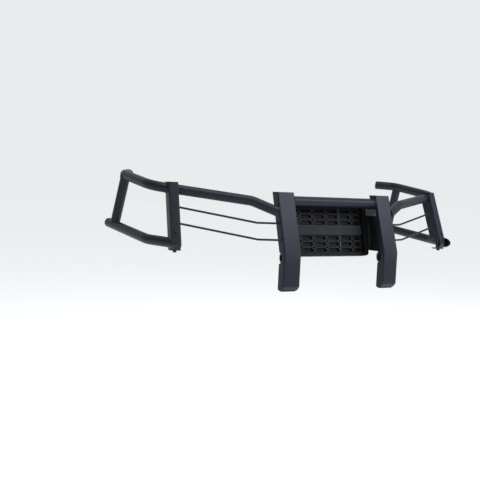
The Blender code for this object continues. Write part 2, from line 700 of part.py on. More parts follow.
def grille_plate(name, points, setback, thickness, mat, holes=()):
    """A flat piece of the insert, its front a setback behind the bezel's."""
    plate = outline(name, points, thickness, mat, holes)
    stand = Matrix.Rotation(pi / 2, 4, "X")
    plate.matrix_world = (grille_frame() @ Matrix.Translation((0, setback + thickness / 2, 0)) @ stand)
    return plate


def hexagon(left, right, cy, rise):
    return [(right, cy), (right - CELL_TIP, cy + rise), (left + CELL_TIP, cy + rise),
            (left, cy), (left + CELL_TIP, cy - rise), (right - CELL_TIP, cy - rise)]


def diamond(cx, cy):
    half, rise = DIAMOND_SIZE[0] / 2, DIAMOND_SIZE[1] / 2
    return [(cx + half, cy), (cx, cy + rise), (cx - half, cy), (cx, cy - rise)]


def mesh_panel(name, bottom, top):
    half = GRILLE_WIDTH / 2 - SIDE_RAIL - GAP
    up = (top - bottom) / CELL_ROWS
    across, between = CELL_MARGIN
    side = ceil(half / CELL_PITCH)
    edges = [column * CELL_PITCH for column in range(-side, side + 1)]
    edges = [max(-half, min(half, edge)) for edge in edges]
    holes = []
    for row in range(CELL_ROWS):
        height = bottom + (row + 0.5) * up
        for left, right in zip(edges, edges[1:]):
            holes.append(hexagon(left + across / 2, right - across / 2, height, (up - between) / 2))
        if row:
            holes += [diamond(edge, height - up / 2) for edge in edges[1:-1]]
    points = rectangle(-half, bottom, half, top)
    grille_plate(name, points, MESH_SETBACK, MESH_THICKNESS, MESH_BLACK, holes)


def grille(hole_radius):
    half = GRILLE_WIDTH / 2
    inside = rectangle(SIDE_RAIL - half, END_RAIL, half - SIDE_RAIL, GRILLE_HEIGHT - END_RAIL)
    bezel = grille_plate("grille_bezel", rectangle(-half, 0, half, GRILLE_HEIGHT, BEZEL_CORNER),
                         0.0, BEZEL_DEPTH, POWDER, [inside])
    bar_low = BAR_CENTRE - BAR_HEIGHT / 2
    bar_high = BAR_CENTRE + BAR_HEIGHT / 2
    reach = half - SIDE_RAIL - GAP
    bar = grille_plate("grille_center_bar", rectangle(-reach, bar_low, reach, bar_high),
                       BAR_SETBACK, BAR_DEPTH, POWDER)
    edge = bar.modifiers.new("edges", "BEVEL")
    edge.width = 0.002
    edge.segments = 2
    edge.limit_method = "ANGLE"
    mesh_panel("grille_mesh_lower", END_RAIL + GAP, bar_low - GAP)
    mesh_panel("grille_mesh_upper", bar_high + GAP, GRILLE_HEIGHT - END_RAIL - GAP)
    grille_plate("grille_screen", rectangle(-reach, END_RAIL + GAP, reach, GRILLE_HEIGHT - END_RAIL - GAP),
                 SCREEN_SETBACK, SCREEN_THICKNESS, MESH_BLACK)
    for side in (1, -1):
        hole = bracket_rear_hole(side)
        boolean(bezel, cylinder_cutter(f"cut_bezel_{side}", hole, hole_radius, 0.036, "X", ROUND))


def bracket_rear_hole(side=1):
    """Frame of the bezel bolt, on the bracket's outer face."""
    frame = inner_frame(side)
    local = Vector((0, BRACKET_REAR + INNER_STANDOFF - BRACKET_SLOPE / 2 - BRACKET_HOLES[1],
                    BRACKET_TOP - BRACKET_HEIGHT / 2))
    wall = -side * (INNER_WIDTH / 2 + GAP)
    return frame @ Matrix.Translation(local + Vector((wall, 0, 0)))


def grille_bracket(hole_radius):
    """Plate from the upright's inner wall back to the bezel's side."""
    wall = -INNER_WIDTH / 2 - GAP                     # upright's inner wall, local
    plate = BRACKET_PLATE
    back, up = BRACKET_REAR + INNER_STANDOFF, BRACKET_TOP
    low = up - BRACKET_HEIGHT
    lap = INNER_DEPTH - BRACKET_LAP
    front = (inner_web_back(up) + lap, inner_web_back(low) + lap)
    points = [(front[0], up), (front[1], low), (back - BRACKET_SLOPE, low), (back, up)]
    frame = inner_frame()
    bracket = side_plate("grille_bracket_right", points, plate,
                         frame @ Matrix.Translation((wall - plate / 2, 0, 0)), ZINC)
    middle = (front[0] + front[1]) / 2 + BRACKET_HOLES[0]
    hole = frame @ Matrix.Translation((wall, middle, (up + low) / 2))
    cutter = cylinder_cutter("cut_bracket", hole, hole_radius, 4 * SHEET, "X", ROUND)
    boolean(bracket, cutter)
    boolean(bpy.data.objects["upright_right"], cutter)
    inward = Matrix.Rotation(pi / 2, 4, "Y")
    placed("grille_bracket_bolt_right", bolt_mesh("bracket_bolt", SMALL_BOLT, SHEET + plate),
           hole @ Matrix.Translation((SHEET + 2 * GAP, 0, 0)) @ inward, BOLT_BLACK)
    rear = bracket_rear_hole()
    boolean(bracket, cylinder_cutter("cut_bracket_rear", rear, hole_radius, 4 * plate, "X", ROUND))
    placed("grille_bezel_bolt_right", bolt_mesh("bezel_bolt", SMALL_BOLT, 0.014),
           rear @ Matrix.Translation((GAP, 0, 0)) @ inward, BOLT_BLACK)


def side_shield():
    """Thin sheet that closes the gap between an upright and the insert."""
    wall = -INNER_WIDTH / 2 - GAP
    low, high = SHIELD_BOTTOM, SHIELD_TOP
    lap = INNER_DEPTH - SHIELD_LAP
    slope = tan(GRILLE_LEAN)
    rear = INNER_STANDOFF + GRILLE_BOTTOM[0] + SHIELD_LAP
    points = [(inner_web_back(high) + lap, high), (inner_web_back(low) + lap, low),
              (rear + slope * low, low), (rear + slope * high, high)]
    side_plate("grille_side_shield_right", points, SHIELD_THICKNESS,
               inner_frame() @ Matrix.Translation((wall - SHIELD_THICKNESS / 2, 0, 0)), MESH_BLACK)


# ---- build ----------------------------------------------------------------
clear_scene()
PARTS = new_collection("front_grille_guard")
CUTTERS = new_collection("cutters")
POWDER = material("powder_coat", (0.018, 0.020, 0.027), 0.45, 0.1)
MESH_BLACK = material("mesh_black", (0.010, 0.011, 0.013), 0.60, 0.0)
RUBBER = material("rubber", (0.012, 0.012, 0.012), 0.85, 0.0)
ZINC = material("zinc_plate", (0.42, 0.43, 0.45), 0.38, 0.9)
BOLT_BLACK = material("black_oxide", (0.03, 0.03, 0.033), 0.40, 0.8)

bolt_hole = BOLT["shank"] / 2 + HOLE_CLEARANCE
small_hole = SMALL_BOLT["shank"] / 2 + HOLE_CLEARANCE
top_path = rounded_path(wing(TOP_TUBE), TOP_BEND_RADIUS, TUBE_STEPS)
lower_path = rounded_path(wing(LOWER_TUBE), LOWER_BEND_RADIUS, TUBE_STEPS)
top_clearance = tube_clearance("cut_top_tube", top_path)
lower_clearance = tube_clearance("cut_lower_tube", lower_path)
inner_block = envelope("cut_inner_block", inner_frame(), INNER_WIDTH)
inner_block_left = envelope("cut_inner_block_left", inner_frame(-1), INNER_WIDTH)
outer_block = envelope("cut_outer_block", outer_frame(), OUTER_WIDTH)

inner_upright()
outer_upright(top_clearance)
wing_tubes(inner_block, outer_block, top_path, lower_path)
rear_post(lower_path, top_clearance, lower_clearance)
tube_caps(top_path, lower_path)
rods(inner_block, outer_block)
clamp(bolt_hole)
foot()
corner(bolt_hole)
crossbar(inner_block, inner_block_left)
grille(small_hole)
grille_bracket(small_hole)
side_shield()

for piece in [obj for obj in PARTS.objects if obj.name.endswith("_right")]:
    mirrored(piece, piece.name.replace("_right", "_left"))
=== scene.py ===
"""Looks for the front grille guard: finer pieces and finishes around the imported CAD."""
import json
from math import cos, pi, radians, sin, tan

import bmesh
import bpy
from mathutils import Matrix, Vector, noise


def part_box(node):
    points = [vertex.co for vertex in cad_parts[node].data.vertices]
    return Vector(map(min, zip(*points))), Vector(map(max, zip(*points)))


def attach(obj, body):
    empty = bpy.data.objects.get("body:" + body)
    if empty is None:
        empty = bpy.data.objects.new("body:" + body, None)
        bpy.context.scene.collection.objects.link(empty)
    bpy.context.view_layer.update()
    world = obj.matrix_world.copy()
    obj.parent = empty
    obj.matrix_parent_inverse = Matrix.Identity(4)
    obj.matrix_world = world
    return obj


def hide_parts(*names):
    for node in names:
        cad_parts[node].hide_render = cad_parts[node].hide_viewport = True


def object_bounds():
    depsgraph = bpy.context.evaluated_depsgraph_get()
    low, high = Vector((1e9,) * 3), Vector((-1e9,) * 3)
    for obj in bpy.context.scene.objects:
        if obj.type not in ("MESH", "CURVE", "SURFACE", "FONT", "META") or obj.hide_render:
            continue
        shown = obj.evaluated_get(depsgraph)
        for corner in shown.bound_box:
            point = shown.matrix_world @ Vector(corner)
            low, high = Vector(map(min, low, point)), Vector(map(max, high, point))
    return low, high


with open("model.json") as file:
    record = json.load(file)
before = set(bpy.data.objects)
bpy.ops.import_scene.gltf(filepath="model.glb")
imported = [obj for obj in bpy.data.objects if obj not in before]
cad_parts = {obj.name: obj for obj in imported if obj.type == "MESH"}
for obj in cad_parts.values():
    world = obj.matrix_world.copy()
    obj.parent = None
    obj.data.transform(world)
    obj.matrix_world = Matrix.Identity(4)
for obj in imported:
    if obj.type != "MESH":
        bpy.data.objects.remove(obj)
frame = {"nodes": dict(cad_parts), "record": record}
CAD_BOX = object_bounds()
NODES = frame["nodes"]
SIDES = (("right", 1), ("left", -1))

# ---- the guard's own dimensions, as in the CAD (metres) --------------------
TUBE = 0.01905                     # tube radius
WALL = 0.0025
AIR = 0.0003                       # left between a tube's end and the wall it is welded to
ROD = 0.004
BEND = 0.085
LOWER_BEND = 0.150
ROD_BEND = 0.030
INNER_X = 0.243
INNER_HALF = 0.038
STANDOFF = 0.041
INNER_TOE = radians(2.0)
OUTER = Vector((0.6676, 0.0926, 0.048))
OUTER_HALF = 0.020
OUTER_TOE = radians(12.0)
TOP_PATH = [(0.262, 0.0145, 0.1684), (0.3681, 0.0663, 0.2133), (0.7143, 0.2239, 0.2575),
            (0.7143, 0.4870, 0.2985), (0.6627, 0.5607, 0.3030)]
LOWER_PATH = [(0.676, 0.091, 0.0509), (0.7232, 0.2283, 0.0564), (0.7281, 0.5965, 0.1000)]
UPPER_ROD = [(0.262, 0.0075, 0.1314), (0.3565, 0.0425, 0.1314), (0.6600, 0.1611, 0.1852)]
LOWER_ROD = [(0.262, -0.0135, 0.0690), (0.3588, 0.0281, 0.0690), (0.6600, 0.1437, 0.1246)]
CROSSBAR_Y = 0.042
CROSSBAR_Z = 0.218
POST_HEAD = 0.018
POST_FOOT = 0.058


# ---- shader helpers --------------------------------------------------------
class Shader:
    """A node material built step by step."""

    def __init__(self, name, colour, roughness, metallic=0.0, specular=0.5):
        self.mat = bpy.data.materials.new(name)
        self.mat.use_nodes = True
        self.nodes = self.mat.node_tree.nodes
        self.links = self.mat.node_tree.links
        self.bsdf = self.nodes["Principled BSDF"]
        self.bsdf.inputs["Base Color"].default_value = (*colour, 1)
        self.bsdf.inputs["Roughness"].default_value = roughness
        self.bsdf.inputs["Metallic"].default_value = metallic
        self.bsdf.inputs["Specular IOR Level"].default_value = specular
        self.place = self.nodes.new("ShaderNodeTexCoord").outputs["Object"]

    def noise(self, scale, detail=3.0, rough=0.55):
        tex = self.nodes.new("ShaderNodeTexNoise")
        tex.inputs["Scale"].default_value = scale
        tex.inputs["Detail"].default_value = detail
        tex.inputs["Roughness"].default_value = rough
        self.links.new(self.place, tex.inputs["Vector"])
        return tex.outputs["Fac"]

    def spots(self, scale):
        tex = self.nodes.new("ShaderNodeTexVoronoi")
        tex.inputs["Scale"].default_value = scale
        self.links.new(self.place, tex.inputs["Vector"])
        return tex

    def spread(self, source, low, high, start=0.0, end=1.0):
        node = self.nodes.new("ShaderNodeMapRange")
        node.inputs["From Min"].default_value = start
        node.inputs["From Max"].default_value = end
        node.inputs["To Min"].default_value = low
        node.inputs["To Max"].default_value = high
        self.links.new(source, node.inputs["Value"])
        return node.outputs["Result"]

    def mix(self, factor, first, second):
        """A colour between two others, each of them a socket or an RGB value."""
        node = self.nodes.new("ShaderNodeMix")
        node.data_type = "RGBA"
        self.links.new(factor, node.inputs["Factor"])
        for value, socket in zip((first, second), [s for s in node.inputs if s.type == "RGBA"]):
            if isinstance(value, bpy.types.NodeSocket):
                self.links.new(value, socket)
            else:
                socket.default_value = (*value, 1)
        return [s for s in node.outputs if s.type == "RGBA"][0]

    def worn_edges(self, radius):
        """Bright where the surface turns sharply outwards."""
        bevel = self.nodes.new("ShaderNodeBevel")
        bevel.samples = 6
        bevel.inputs["Radius"].default_value = radius
        geometry = self.nodes.new("ShaderNodeNewGeometry")
        dot = self.nodes.new("ShaderNodeVectorMath")
        dot.operation = "DOT_PRODUCT"
        self.links.new(bevel.outputs["Normal"], dot.inputs[0])
        self.links.new(geometry.outputs["Normal"], dot.inputs[1])
        return self.spread(dot.outputs["Value"], 1.0, 0.0, 0.86, 0.998)

    def bump(self, *layers):
        previous = None
        for height, strength, distance in layers:
            node = self.nodes.new("ShaderNodeBump")
            node.inputs["Strength"].default_value = strength
            node.inputs["Distance"].default_value = distance
            self.links.new(height, node.inputs["Height"])
            if previous:
                self.links.new(previous, node.inputs["Normal"])
            previous = node.outputs["Normal"]
        self.links.new(previous, self.bsdf.inputs["Normal"])

    def set(self, name, socket):
        self.links.new(socket, self.bsdf.inputs[name])


def powder_coat(name, dark, light, roughness):
    """Fine-textured satin black powder coat with dust in it and rubbed edges."""
    s = Shader(name, dark, 0.45, 0.0, 0.24)
    broad = s.noise(5.0, 3.0)
    fine = s.noise(900.0, 2.0, 0.6)
    speck = s.noise(2400.0, 1.0)
    base = s.mix(s.spread(broad, 0.0, 1.0, 0.35, 0.65), dark, light)
    edge = s.worn_edges(0.0012)
    rub = s.spread(s.noise(60.0, 4.0), 0.0, 1.0, 0.42, 0.62)
    amount = s.nodes.new("ShaderNodeMath")
    amount.operation = "MULTIPLY"
    s.links.new(edge, amount.inputs[0])
    s.links.new(rub, amount.inputs[1])
    worn = s.mix(amount.outputs[0], base, tuple(min(1.0, c * 2.6 + 0.012) for c in light))
    s.set("Base Color", s.mix(s.spread(speck, 0.0, 0.16, 0.62, 0.80), worn,
                              tuple(c * 2.4 + 0.01 for c in light)))
    rough = s.spread(fine, roughness - 0.07, roughness + 0.08, 0.3, 0.7)
    s.set("Roughness", rough)
    s.bump((fine, 0.16, 0.00012), (s.noise(210.0, 2.0), 0.10, 0.0002))
    return s.mat


def moulded_plastic(name, dark, light):
    s = Shader(name, dark, 0.6, 0.0, 0.16)
    s.set("Base Color", s.mix(s.spread(s.noise(9.0, 3.0), 0.0, 1.0, 0.35, 0.65), dark, light))
    s.set("Roughness", s.spread(s.noise(500.0, 2.0), 0.50, 0.70, 0.3, 0.7))
    s.bump((s.noise(1300.0, 2.0, 0.7), 0.2, 0.00012))
    return s.mat


def rubber(name):
    s = Shader(name, (0.013, 0.013, 0.014), 0.85, 0.0, 0.25)
    s.set("Base Color", s.mix(s.spread(s.noise(30.0, 4.0), 0.0, 1.0, 0.35, 0.7),
                              (0.011, 0.011, 0.012), (0.030, 0.030, 0.031)))
    s.set("Roughness", s.spread(s.noise(300.0, 3.0), 0.75, 0.95, 0.3, 0.7))
    s.bump((s.noise(700.0, 3.0, 0.7), 0.35, 0.0002))
    return s.mat


def zinc(name, dark, light):
    s = Shader(name, dark, 0.4, 0.85, 0.5)
    spangle = s.spots(160.0)
    patch = s.spread(spangle.outputs["Distance"], 0.0, 1.0, 0.0, 0.8)
    base = s.mix(patch, dark, light)
    stain = s.spread(s.noise(45.0, 4.0), 0.0, 0.45, 0.5, 0.75)
    s.set("Base Color", s.mix(stain, base, (0.24, 0.23, 0.20)))
    s.set("Roughness", s.spread(s.noise(140.0, 4.0), 0.30, 0.55, 0.3, 0.7))
    s.bump((s.noise(420.0, 3.0), 0.12, 0.0001))
    return s.mat


def black_oxide(name):
    s = Shader(name, (0.028, 0.028, 0.030), 0.38, 0.7, 0.5)
    base = s.mix(s.spread(s.noise(70.0, 3.0), 0.0, 1.0, 0.35, 0.7),
                 (0.020, 0.020, 0.022), (0.050, 0.049, 0.048))
    edge = s.worn_edges(0.0006)
    s.set("Base Color", s.mix(edge, base, (0.16, 0.16, 0.16)))
    s.set("Roughness", s.spread(s.noise(220.0, 3.0), 0.30, 0.50, 0.3, 0.7))
    s.bump((s.noise(800.0, 2.0), 0.15, 0.0001))
    return s.mat


POWDER = powder_coat("satin_black_powder", (0.0075, 0.0092, 0.0160), (0.0115, 0.0140, 0.0235), 0.44)
WELD = powder_coat("coated_weld", (0.0072, 0.0088, 0.0150), (0.0110, 0.0132, 0.0215), 0.40)
MESH = moulded_plastic("mesh_black", (0.0060, 0.0064, 0.0078), (0.0120, 0.0125, 0.0145))
BAR = moulded_plastic("bar_charcoal", (0.0125, 0.0180, 0.0215), (0.0180, 0.0245, 0.0285))
# Near-black, darker than the mesh: the bezel's own black deepened into painted shade, and painted shade on
# the screen, the side shields and the sheets behind the brackets
BLACK_AND_SHADE = moulded_plastic("black_and_painted_shade", (0.0022, 0.0022, 0.0028), (0.0042, 0.0042, 0.0050))
# Cell rims coloured lighter than the mesh: a painted highlight along the raised outlines
RIM_PAINTED_HIGHLIGHT = moulded_plastic("rim_painted_highlight", (0.0260, 0.0275, 0.0320), (0.0400, 0.0420, 0.0480))
# Lighter than the bezel: a painted highlight along the curved lip
LIP_PAINTED_HIGHLIGHT = moulded_plastic("lip_painted_highlight", (0.0120, 0.0128, 0.0150), (0.0190, 0.0200, 0.0230))
PALE = moulded_plastic("bead_grey", (0.0900, 0.0880, 0.0820), (0.1500, 0.1470, 0.1380))
# Pale strip on the centre bar: a painted highlight
BAR_PAINTED_HIGHLIGHT = moulded_plastic("bar_painted_highlight", (0.0550, 0.0660, 0.0740), (0.0750, 0.0880, 0.0980))
# Grey powder coat for the grille brackets, brightened to the tone of light catching them: partly their own
# grey, partly painted highlight
GREY_AND_HIGHLIGHT = powder_coat("grey_coat_and_highlight", (0.0900, 0.0950, 0.1100), (0.1200, 0.1260, 0.1420), 0.50)
RUBBER = rubber("pad_rubber")
ZINC = zinc("zinc_plate", (0.36, 0.37, 0.39), (0.55, 0.56, 0.58))
OXIDE = black_oxide("black_oxide")
BY_SLOT = {"powder_coat": POWDER, "mesh_black": MESH, "rubber": RUBBER, "zinc_plate": ZINC,
           "black_oxide": OXIDE}
SLOT_OF = {part["node"]: part["material_slot"] for part in frame["record"]["subparts"]}
# The bezel, screen and side shields take the near-black painted shade; the grille brackets take the grey
# with painted highlight
SPECIAL = {"grille_center_bar": BAR, "grille_bezel": BLACK_AND_SHADE, "grille_screen": BLACK_AND_SHADE,
           "grille_side_shield_left": BLACK_AND_SHADE, "grille_side_shield_right": BLACK_AND_SHADE,
           "grille_bracket_left": GREY_AND_HIGHLIGHT, "grille_bracket_right": GREY_AND_HIGHLIGHT,
           "corner_through_nut_left": OXIDE, "corner_through_nut_right": OXIDE}


def finish_of(node):
    return SPECIAL.get(node, BY_SLOT[SLOT_OF[node]])


# ---- geometry helpers ------------------------------------------------------
def piece(name, bm, mat, angle=35):
    mesh = bpy.data.meshes.new(name)
    bm.normal_update()
    bm.to_mesh(mesh)
    bm.free()
    mesh.shade_smooth()
    mesh.set_sharp_from_angle(angle=radians(angle))
    obj = bpy.data.objects.new(name, mesh)
    bpy.context.scene.collection.objects.link(obj)
    mesh.materials.append(mat)
    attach(obj, "root")
    return obj


def rounded_path(points, radius, steps):
    """The points with each corner replaced by an arc."""
    corners = [Vector(p) for p in points]
    path = [corners[0]]
    for before, here, after in zip(corners, corners[1:], corners[2:]):
        back = (before - here).normalized()
        ahead = (after - here).normalized()
        half = back.angle(ahead) / 2
        reach = radius / tan(half)
        centre = here + (back + ahead).normalized() * (radius / sin(half))
        start = (here + back * reach - centre).normalized()
        finish = (here + ahead * reach - centre).normalized()
        path += [centre + start.slerp(finish, i / steps) * radius for i in range(steps + 1)]
    path.append(corners[-1])
    return path


def ring(bm, centre, axis, radius, sides, up):
    across = axis.cross(up).normalized()
    over = across.cross(axis).normalized()
    return [bm.verts.new(centre + (across * cos(t) + over * sin(t)) * radius)
            for t in (2 * pi * i / sides for i in range(sides))]


def bridge(bm, first, second):
    n = len(first)
    for i in range(n):
        j = (i + 1) % n
        bm.faces.new((first[i], first[j], second[j], second[i]))


def tangents(path):
    out = []
    for i, here in enumerate(path):
        before = path[max(i - 1, 0)]
        after = path[min(i + 1, len(path) - 1)]
        back = (here - before).normalized() if i else (after - here).normalized()
        ahead = (after - here).normalized() if i < len(path) - 1 else back
        out.append((back + ahead).normalized())
    return out


def cut_ring(verts, direction, plane):
    """Slide a ring's corners along the tube onto a plane, as a mitre."""
    if plane:
        for vert in verts:
            vert.co = plane_hit(vert.co, direction, *plane)


def tube_bmesh(path, radius, sides=40, wall=None, start=None, end=None):
    """A tube along a path, its ends cut on planes. With a wall it is hollow."""
    bm = bmesh.new()
    axes = tangents(path)
    up = Vector((0, 0, 1))
    outer = [ring(bm, p, a, radius, sides, up) for p, a in zip(path, axes)]
    cut_ring(outer[0], axes[0], start)
    cut_ring(outer[-1], axes[-1], end)
    for first, second in zip(outer, outer[1:]):
        bridge(bm, first, second)
    if wall:
        inner = [ring(bm, p, a, radius - wall, sides, up) for p, a in zip(path, axes)]
        cut_ring(inner[0], axes[0], start)
        cut_ring(inner[-1], axes[-1], end)
        for first, second in zip(inner, inner[1:]):
            bridge(bm, second, first)
        bridge(bm, inner[0], outer[0])
        bridge(bm, outer[-1], inner[-1])
    else:
        bm.faces.new(outer[0][::-1])
        bm.faces.new(outer[-1])
    bmesh.ops.recalc_face_normals(bm, faces=bm.faces)
    return bm


def plane_hit(point, direction, origin, normal):
    return point + direction * ((origin - point).dot(normal) / direction.dot(normal))


def weld_bead(name, curve, normals, size=0.0032, pitch=0.0042):
    """A rippled fillet along a closed curve; normals point out of the corner."""
    bm = bmesh.new()
    n = len(curve)
    rings = []
    length = 0.0
    for i, point in enumerate(curve):
        before, after = curve[i - 1], curve[(i + 1) % n]
        along = (after - before).normalized()
        out = (normals[i] - along * normals[i].dot(along)).normalized()
        across = along.cross(out)
        wave = 0.5 + 0.5 * cos(2 * pi * length / pitch)
        jitter = noise.noise(point * 160.0) * 0.10
        radius = size * (0.84 + 0.16 * wave ** 0.6 + jitter)
        rings.append([bm.verts.new(point + (across * cos(t) + out * sin(t) * 0.8) * radius)
                      for t in (2 * pi * k / 10 for k in range(10))])
        length += (after - point).length
    for i in range(n):
        bridge(bm, rings[i], rings[(i + 1) % n])
    low, high = CAD_BOX
    for vert in bm.verts:
        vert.co = [min(max(value, a), b) for value, a, b in zip(vert.co, low, high)]
    bmesh.ops.recalc_face_normals(bm, faces=bm.faces)
    return piece(name, bm, WELD, 60)


def bead_on_plane(name, point, direction, radius, origin, normal, size=0.0032):
    """The bead where a round bar meets a flat wall; normal points at the bar."""
    direction = direction.normalized()
    across = direction.cross(Vector((0, 0, 1))).normalized()
    over = across.cross(direction).normalized()
    steps = max(48, int(radius * 2 * pi / 0.0007))
    curve, normals = [], []
    for i in range(steps):
        t = 2 * pi * i / steps
        side = across * cos(t) + over * sin(t)
        curve.append(plane_hit(point + side * radius, direction, origin, normal))
        normals.append(side + normal)
    return weld_bead(name, curve, normals, size)


def bead_on_tube(name, point, direction, radius, base, base_axis, base_radius, size=0.0032):
    """The bead where a round bar, running along direction, meets a round tube."""
    direction = direction.normalized()
    base_axis = base_axis.normalized()
    across = direction.cross(base_axis).normalized()
    over = across.cross(direction).normalized()
    steps = max(48, int(radius * 2 * pi / 0.0007))
    curve, normals = [], []
    for i in range(steps):
        t = 2 * pi * i / steps
        side = across * cos(t) + over * sin(t)
        start = point + side * radius - base
        flat = start - base_axis * start.dot(base_axis)
        way = direction - base_axis * direction.dot(base_axis)
        a = way.dot(way)
        b = 2 * flat.dot(way)
        c = flat.dot(flat) - base_radius ** 2
        root = max(b * b - 4 * a * c, 0.0) ** 0.5
        hit = base + start + direction * ((-b - root) / (2 * a))
        from_axis = hit - base
        radial = (from_axis - base_axis * from_axis.dot(base_axis)).normalized()
        curve.append(hit)
        normals.append(side + radial)
    return weld_bead(name, curve, normals, size)


def softened(node, mat, width=0.0007, segments=2, angle=28):
    """The CAD node's shape, its sharp edges rounded as far as its neighbouring edges leave room."""
    bm = bmesh.new()
    bm.from_mesh(NODES[node].data)
    bmesh.ops.remove_doubles(bm, verts=bm.verts, dist=0.00002)
    bmesh.ops.dissolve_limit(bm, angle_limit=radians(1.5), verts=bm.verts, edges=bm.edges)
    sharp = [e for e in bm.edges if len(e.link_faces) == 2
             and e.calc_face_angle(0.0) > radians(angle)]
    bmesh.ops.bevel(bm, geom=sharp, offset=width, offset_type="OFFSET", segments=segments,
                    profile=0.5, affect="EDGES", clamp_overlap=True)
    low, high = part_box(node)
    reach = 0.0                    # how far the rounding pushed a corner out of the node's box
    for vert in bm.verts:
        reach = max(reach, *(a - v for v, a in zip(vert.co, low)), *(v - b for v, b in zip(vert.co, high)))
    if reach > 0.00004:
        bm.free()
        bm = bmesh.new()
        bm.from_mesh(NODES[node].data)
        bmesh.ops.remove_doubles(bm, verts=bm.verts, dist=0.00002)
    bmesh.ops.triangulate(bm, faces=[f for f in bm.faces if len(f.verts) > 4])
    bm.edges.index_update()
    creases = [e.index for e in bm.edges
               if len(e.link_faces) == 2 and e.calc_face_angle(0.0) > radians(8)
               and abs((e.verts[0].co - e.verts[1].co).normalized().x) > 0.93
               and e.calc_length() > 0.012]
    obj = piece(node + "_skin", bm, mat)
    for index in creases:
        obj.data.edges[index].use_edge_sharp = True
    even = obj.modifiers.new("even_faces", "WEIGHTED_NORMAL")
    even.keep_sharp = True
    even.weight = 100
    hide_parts(node)
    return obj


def inner_frame(side):
    place = Matrix.Translation((side * INNER_X, -STANDOFF, 0.0))
    return place @ Matrix.Rotation(side * INNER_TOE, 4, "Z")


def outer_frame(side):
    place = Matrix.Translation((side * OUTER.x, OUTER.y, OUTER.z))
    return place @ Matrix.Rotation(side * OUTER_TOE, 4, "Z")


def wall_plane(frame_matrix, offset):
    """A point on an upright's side wall and the wall's outward normal."""
    turn = frame_matrix.to_3x3()
    return frame_matrix @ Vector((offset, 0, 0)), turn @ Vector((1 if offset > 0 else -1, 0, 0))


def trimmed(path, origin, normal, keep_start=False):
    """The path's straight first run, started where it leaves a wall."""
    path = [Vector(p) for p in path]
    if keep_start:
        path[-1] = plane_hit(path[-1], path[-1] - path[-2], origin, normal)
    else:
        path[0] = plane_hit(path[0], path[1] - path[0], origin, normal)
    return path


# ---- finishes on the CAD nodes that keep their shape -----------------------
for node, obj in NODES.items():
    obj.data.materials.clear()
    obj.data.materials.append(finish_of(node))


# ---- tubes, rods and their welds -------------------------------------------
def wing(word, side):
    """One side's top tube, lower tube and headlight rods, with their weld beads."""
    inner = inner_frame(side)
    outer = outer_frame(side)
    wall_in, wall_in_normal = wall_plane(inner, side * INNER_HALF)
    wall_out_a, out_a_normal = wall_plane(outer, -side * OUTER_HALF)
    wall_out_b, out_b_normal = wall_plane(outer, side * OUTER_HALF)
    top_corners = [Vector((side * x, y, z)) for x, y, z in TOP_PATH]
    low_corners = [Vector((side * x, y, z)) for x, y, z in LOWER_PATH]

    path = trimmed(rounded_path(top_corners, BEND, 18), wall_in, wall_in_normal)
    run = (path[1] - path[0]).normalized()
    cut = (wall_in + wall_in_normal * AIR, wall_in_normal)
    top = piece(f"wing_top_tube_{word}_skin", tube_bmesh(path, TUBE, 48, WALL, cut), POWDER)
    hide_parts(f"wing_top_tube_{word}")
    bead_on_plane(f"weld_top_tube_{word}", path[0], run, TUBE, wall_in, wall_in_normal)

    mid = (top_corners[2] - top_corners[1]).normalized()
    for tag, origin, normal in (("inside", wall_out_a, out_a_normal), ("outside", wall_out_b, out_b_normal)):
        bead_on_plane(f"weld_top_tube_{word}_{tag}", top_corners[1], mid, TUBE, origin, normal, 0.0024)

    path = trimmed(rounded_path(low_corners, LOWER_BEND, 14), wall_out_b, out_b_normal)
    run = (path[1] - path[0]).normalized()
    cut = (wall_out_b + out_b_normal * AIR, out_b_normal)
    lower = piece(f"wing_lower_tube_{word}_skin", tube_bmesh(path, TUBE, 48, WALL, cut), POWDER)
    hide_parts(f"wing_lower_tube_{word}")
    bead_on_plane(f"weld_lower_tube_{word}", path[0], run, TUBE, wall_out_b, out_b_normal)

    top_axis = (top_corners[3] - top_corners[2]).normalized()
    low_axis = (low_corners[-1] - low_corners[-2]).normalized()
    head = top_corners[3] - top_axis * POST_HEAD
    foot = low_corners[-1] - low_axis * POST_FOOT
    down = (foot - head).normalized()
    bead_on_tube(f"weld_post_head_{word}", foot, -down, TUBE, head, top_axis, TUBE)
    bead_on_tube(f"weld_post_foot_{word}", head, down, TUBE, foot, low_axis, TUBE)

    for level, corners in (("upper", UPPER_ROD), ("lower", LOWER_ROD)):
        node = f"headlight_rod_{level}_{word}"
        points = [Vector((side * x, y, z)) for x, y, z in corners]
        path = trimmed(rounded_path(points, ROD_BEND, 10), wall_in, wall_in_normal)
        path = trimmed(path, wall_out_a, out_a_normal, keep_start=True)
        start_run = (path[1] - path[0]).normalized()
        end_run = (path[-1] - path[-2]).normalized()
        rod = piece(node + "_skin", tube_bmesh(path, ROD, 20, None, (wall_in, wall_in_normal),
                                               (wall_out_a, out_a_normal)), POWDER)
        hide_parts(node)
        bead_on_plane(f"weld_rod_{level}_{word}_inner", path[0], start_run, ROD, wall_in,
                      wall_in_normal, 0.0020)
        bead_on_plane(f"weld_rod_{level}_{word}_outer", path[-1], end_run, ROD, wall_out_a,
                      out_a_normal, 0.0020)


for word, side in SIDES:
    wing(word, side)

# ---- crossbar --------------------------------------------------------------
axis_point = Vector((0, CROSSBAR_Y, CROSSBAR_Z))
ends = []
for word, side in SIDES:
    wall, normal = wall_plane(inner_frame(side), -side * INNER_HALF)
    end = plane_hit(axis_point, Vector((side, 0, 0)), wall, normal)
    ends.append((end, (wall + normal * AIR, normal)))
bar = piece("crossbar_skin", tube_bmesh([ends[1][0], ends[0][0]], TUBE, 48, WALL, ends[1][1],
                                        ends[0][1]), POWDER)
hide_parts("crossbar")

